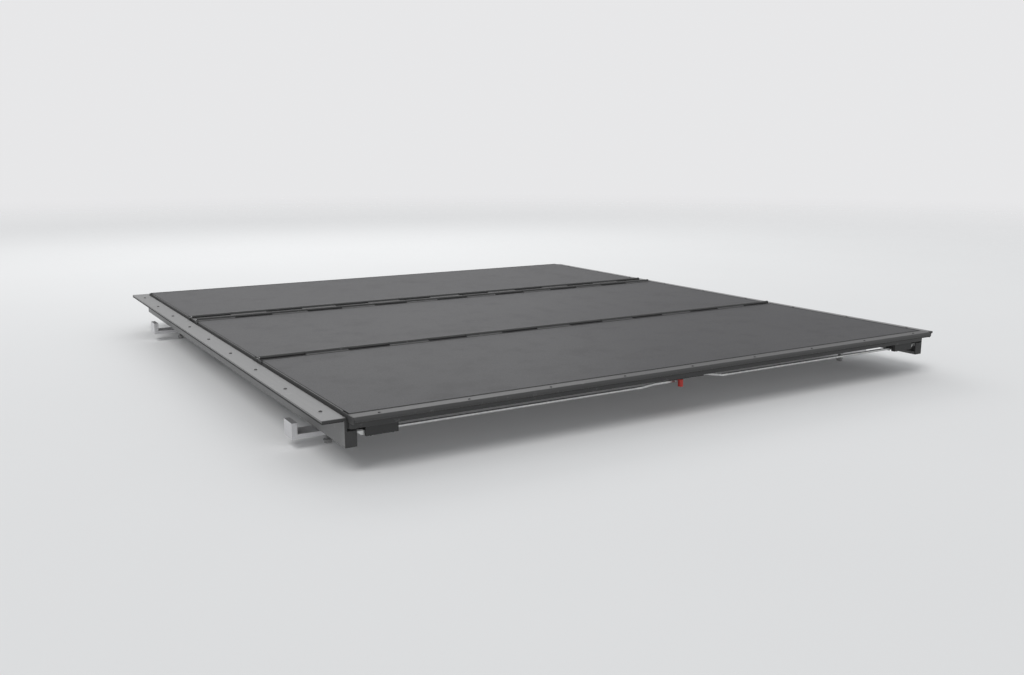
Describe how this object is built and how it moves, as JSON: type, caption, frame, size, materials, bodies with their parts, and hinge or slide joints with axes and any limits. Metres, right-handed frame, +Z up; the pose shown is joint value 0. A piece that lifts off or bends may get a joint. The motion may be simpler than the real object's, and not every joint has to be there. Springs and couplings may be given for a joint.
{
  "type": "tonneau cover",
  "caption": "Hard folding tonneau cover for a short pickup bed: framed panels that fold forward on a link hinge, side rails with screw clamps, side latches worked by one lever, and prop rods.",
  "frame": {"origin": "centre of the bounding box at its base, under the heads of the clamp bolts", "axes": "+X towards the truck's right side, +Y towards the cab, +Z up"},
  "size_m": [1.6, 1.702, 0.1175],
  "materials": {
    "rail_metal": "satin",
    "rubber": "matte",
    "black_plastic": "matte",
    "panel_skin": "matte",
    "foam": "matte",
    "liner": "matte",
    "frame_metal": "matte",
    "steel": "satin",
    "clamp_metal": "satin",
    "lever_plastic": "satin"
  },
  "bodies": {
    "rails": {"rail_left": "rail_metal", "rail_right": "rail_metal", "rail_ledges": "rail_metal", "rail_tape": "rubber", "rail_seals": "rubber", "rail_end_caps": "black_plastic", "bulkhead_rail": "rail_metal", "bulkhead_seal": "rubber", "corner_fixings": "steel", "clamp_brackets": "clamp_metal", "hold_down_brackets": "clamp_metal", "front_skin": "panel_skin", "front_core": "foam", "front_liner": "liner", "front_lead_bar": "frame_metal", "front_hinge_bar": "frame_metal", "front_side_bars": "frame_metal", "front_end_caps": "black_plastic", "front_hinge_pin": "steel"},
    "link": {"link_bar": "frame_metal", "link_hinge_pin": "steel"},
    "middle_panel": {"middle_skin": "panel_skin", "middle_core": "foam", "middle_liner": "liner", "middle_lead_bar": "frame_metal", "middle_hinge_bar": "frame_metal", "middle_side_bars": "frame_metal", "middle_end_caps": "black_plastic", "rear_hinge_pin": "steel", "prop_mounts": "black_plastic"},
    "rear_panel": {"rear_skin": "panel_skin", "rear_core": "foam", "rear_liner": "liner", "rear_lead_bar": "frame_metal", "rear_tail_bar": "frame_metal", "rear_side_bars": "frame_metal", "rear_end_caps": "black_plastic", "tail_rail": "frame_metal", "tail_seal": "rubber", "latch_housings": "black_plastic", "latch_spring_left": "steel", "latch_spring_right": "steel", "release_base": "black_plastic"},
    "latch_left": {"latch_bolt_left": "steel", "pull_rod_left": "steel"},
    "latch_right": {"latch_bolt_right": "steel", "pull_rod_right": "steel"},
    "lever": {"release_lever": "lever_plastic"},
    "prop_left": {"prop_rod_left": "steel"},
    "prop_right": {"prop_rod_right": "steel"},
    "knob_left": {"hold_down_knob_left": "black_plastic"},
    "knob_right": {"hold_down_knob_right": "black_plastic"},
    "clamp_bolt_front_left": {"clamp_bolt_front_left": "steel"},
    "clamp_jaw_front_left": {"clamp_jaw_front_left": "clamp_metal"},
    "clamp_bolt_front_right": {"clamp_bolt_front_right": "steel"},
    "clamp_jaw_front_right": {"clamp_jaw_front_right": "clamp_metal"},
    "clamp_bolt_rear_left": {"clamp_bolt_rear_left": "steel"},
    "clamp_jaw_rear_left": {"clamp_jaw_rear_left": "clamp_metal"},
    "clamp_bolt_rear_right": {"clamp_bolt_rear_right": "steel"},
    "clamp_jaw_rear_right": {"clamp_jaw_rear_right": "clamp_metal"}
  },
  "joints": [
    {"name": "fold_front", "type": "hinge", "parent": "rails", "child": "link", "pos_m": [0, 0.295, 0.113], "axis": [-1, 0, 0], "range_deg": [0, 90]},
    {"name": "fold_link", "type": "hinge", "parent": "link", "child": "middle_panel", "pos_m": [0, 0.245, 0.113], "axis": [-1, 0, 0], "range_deg": [0, 90]},
    {"name": "fold_rear", "type": "hinge", "parent": "middle_panel", "child": "rear_panel", "pos_m": [0, -0.307, 0.113], "axis": [-1, 0, 0], "range_deg": [0, 180]},
    {"name": "latch_left_slide", "type": "slide", "parent": "rear_panel", "child": "latch_left", "axis": [1, 0, 0], "range_m": [0, 0.012], "stiffness_N_per_m": 500, "springref_m": -0.018, "deforming": ["latch_spring_left"]},
    {"name": "latch_right_slide", "type": "slide", "parent": "rear_panel", "child": "latch_right", "axis": [-1, 0, 0], "range_m": [0, 0.01205], "stiffness_N_per_m": 500, "springref_m": -0.018, "deforming": ["latch_spring_right"]},
    {"name": "lever_turn", "type": "hinge", "parent": "rear_panel", "child": "lever", "pos_m": [0, -0.78, 0.0734], "axis": [0, 0, 1], "range_deg": [0, 35]},
    {"name": "prop_left_swing", "type": "hinge", "parent": "middle_panel", "child": "prop_left", "pos_m": [-0.702, 0.23, 0.077], "axis": [1, 0, 0], "range_deg": [0, 95]},
    {"name": "knob_left_turn", "type": "hinge", "parent": "rails", "child": "knob_left", "pos_m": [-0.716, 0.808, 0.0637], "axis": [0, 0, 1], "continuous": true},
    {"name": "prop_right_swing", "type": "hinge", "parent": "middle_panel", "child": "prop_right", "pos_m": [0.702, 0.23, 0.077], "axis": [1, 0, 0], "range_deg": [0, 95]},
    {"name": "knob_right_turn", "type": "hinge", "parent": "rails", "child": "knob_right", "pos_m": [0.716, 0.808, 0.0637], "axis": [0, 0, 1], "continuous": true},
    {"name": "bolt_front_left_turn", "type": "hinge", "parent": "rails", "child": "clamp_bolt_front_left", "pos_m": [-0.714, 0.611, 0.036], "axis": [0, 0, 1], "range_deg": [0, 3458]},
    {"name": "jaw_front_left_slide", "type": "slide", "parent": "rails", "child": "clamp_jaw_front_left", "axis": [0, 0, -1], "range_m": [0, 0.012]},
    {"name": "bolt_front_right_turn", "type": "hinge", "parent": "rails", "child": "clamp_bolt_front_right", "pos_m": [0.714, 0.611, 0.036], "axis": [0, 0, 1], "range_deg": [0, 3458]},
    {"name": "jaw_front_right_slide", "type": "slide", "parent": "rails", "child": "clamp_jaw_front_right", "axis": [0, 0, -1], "range_m": [0, 0.012]},
    {"name": "bolt_rear_left_turn", "type": "hinge", "parent": "rails", "child": "clamp_bolt_rear_left", "pos_m": [-0.714, -0.611, 0.036], "axis": [0, 0, 1], "range_deg": [0, 3458]},
    {"name": "jaw_rear_left_slide", "type": "slide", "parent": "rails", "child": "clamp_jaw_rear_left", "axis": [0, 0, -1], "range_m": [0, 0.012]},
    {"name": "bolt_rear_right_turn", "type": "hinge", "parent": "rails", "child": "clamp_bolt_rear_right", "pos_m": [0.714, -0.611, 0.036], "axis": [0, 0, 1], "range_deg": [0, 3458]},
    {"name": "jaw_rear_right_slide", "type": "slide", "parent": "rails", "child": "clamp_jaw_rear_right", "axis": [0, 0, -1], "range_m": [0, 0.012]}
  ],
  "couplings": [
    {"joint": "fold_link", "follows": "fold_front", "ratio": 1},
    {"joint": "latch_right_slide", "follows": "latch_left_slide", "ratio": 1},
    {"joint": "lever_turn", "follows": "latch_left_slide", "rad_per_m": 50.782},
    {"joint": "bolt_front_left_turn", "follows": "jaw_front_left_slide", "rad_per_m": 5026.5},
    {"joint": "bolt_front_right_turn", "follows": "jaw_front_right_slide", "rad_per_m": 5026.5},
    {"joint": "bolt_rear_left_turn", "follows": "jaw_rear_left_slide", "rad_per_m": 5026.5},
    {"joint": "bolt_rear_right_turn", "follows": "jaw_rear_right_slide", "rad_per_m": 5026.5}
  ]
}
